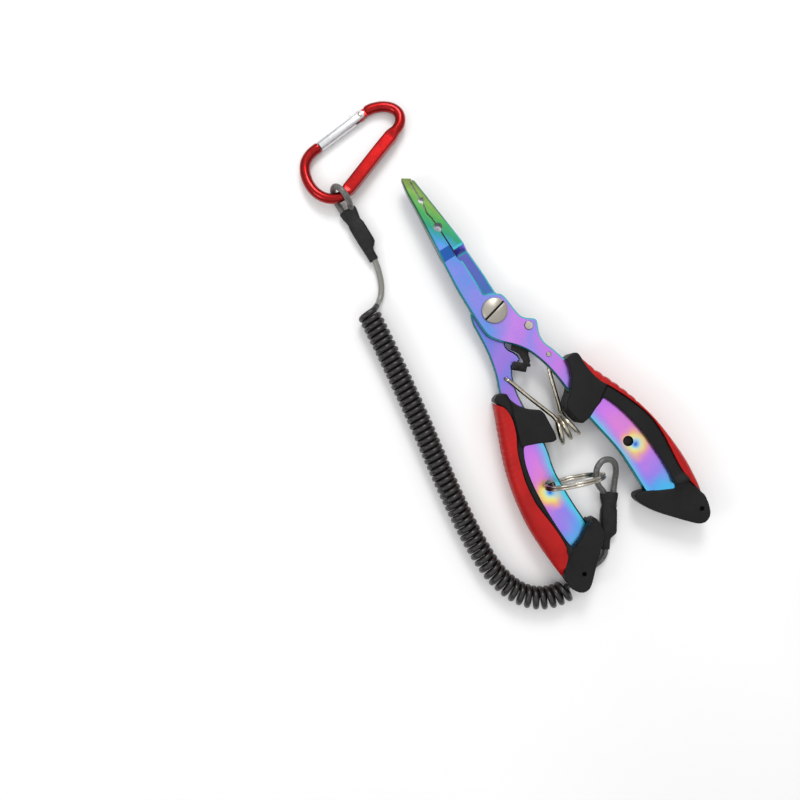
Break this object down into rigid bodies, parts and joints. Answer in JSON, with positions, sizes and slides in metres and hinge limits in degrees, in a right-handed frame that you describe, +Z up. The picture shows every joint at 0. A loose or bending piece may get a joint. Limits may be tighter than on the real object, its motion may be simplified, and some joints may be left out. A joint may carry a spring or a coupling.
{
  "type": "fishing pliers",
  "caption": "Long-nose split-ring fishing pliers with line cutter, sprung moulded grips and a coiled lanyard ending in a carabiner.",
  "frame": {"origin": "centre of the pliers' bounding box on the table they lie on, without the free lanyard", "axes": "+Y along the tool towards the jaws, +X to the right seen from above, +Z up, along the pivot screw"},
  "size_m": [0.0941, 0.2161, 0.0246],
  "materials": {
    "rainbow_steel": "steel with a polished rainbow oxide colour, violet to blue and green",
    "bright_steel": "bright nickel-plated steel",
    "dark_steel": "black oxide, satin",
    "grip_black": "moulded, matte",
    "grip_red": "soft moulded rubber, satin",
    "cord_grey": "smoky dark vinyl over a wire core",
    "sleeve_black": "heat-shrunk, matte",
    "ferrule_metal": "pressed",
    "red_anodised": "red anodised, glossy",
    "gate_metal": "satin"
  },
  "bodies": {
    "back": {"back_arm": "rainbow_steel", "pivot_screw": "bright_steel", "pivot_nut": "bright_steel", "return_spring": "bright_steel", "left_grip": "grip_black", "left_pad": "grip_red", "ring_loop": "cord_grey", "ring_ferrule": "ferrule_metal", "ring_sleeve": "sleeve_black", "tail_cord": "cord_grey", "cord_coil": "cord_grey", "lead_cord": "cord_grey", "clip_ferrule": "ferrule_metal", "clip_sleeve": "sleeve_black", "clip_loop": "cord_grey"},
    "front": {"front_arm": "rainbow_steel", "right_grip": "grip_black", "right_pad": "grip_red", "latch_rivet": "bright_steel"},
    "latch": {"latch_lever": "dark_steel"},
    "ring": {"split_ring": "bright_steel"},
    "carabiner": {"carabiner_frame": "red_anodised", "gate_pin": "bright_steel"},
    "gate": {"carabiner_gate": "gate_metal", "gate_plunger": "bright_steel", "gate_spring": "bright_steel"}
  },
  "joints": [
    {"name": "pliers_pivot", "type": "hinge", "parent": "back", "child": "front", "pos_m": [0.0012, 0.026, 0.0075], "axis": [0, 0, 1], "range_deg": [0, 24], "deforming": ["return_spring"]},
    {"name": "latch_turn", "type": "hinge", "parent": "front", "child": "latch", "pos_m": [0.0096, 0.0137, 0.0066], "axis": [0, 0, 1], "range_deg": [0, 14]},
    {"name": "split_ring_turn", "type": "hinge", "parent": "back", "child": "ring", "pos_m": [-0.0085, -0.0485, 0.0124], "axis": [0.3338, 0.9426, 0], "continuous": true},
    {"name": "carabiner_swing", "type": "hinge", "parent": "back", "child": "carabiner", "pos_m": [-0.0254, 0.0984, 0.005], "axis": [0, 0.1219, 0.9925], "range_deg": [-2, 8]},
    {"name": "gate_turn", "type": "hinge", "parent": "carabiner", "child": "gate", "pos_m": [-0.0012, 0.1227, 0.00005], "axis": [0, 0.1219, 0.9925], "range_deg": [0, 35], "stiffness_Nm_per_rad": 0.01, "springref_deg": -11.46}
  ]
}
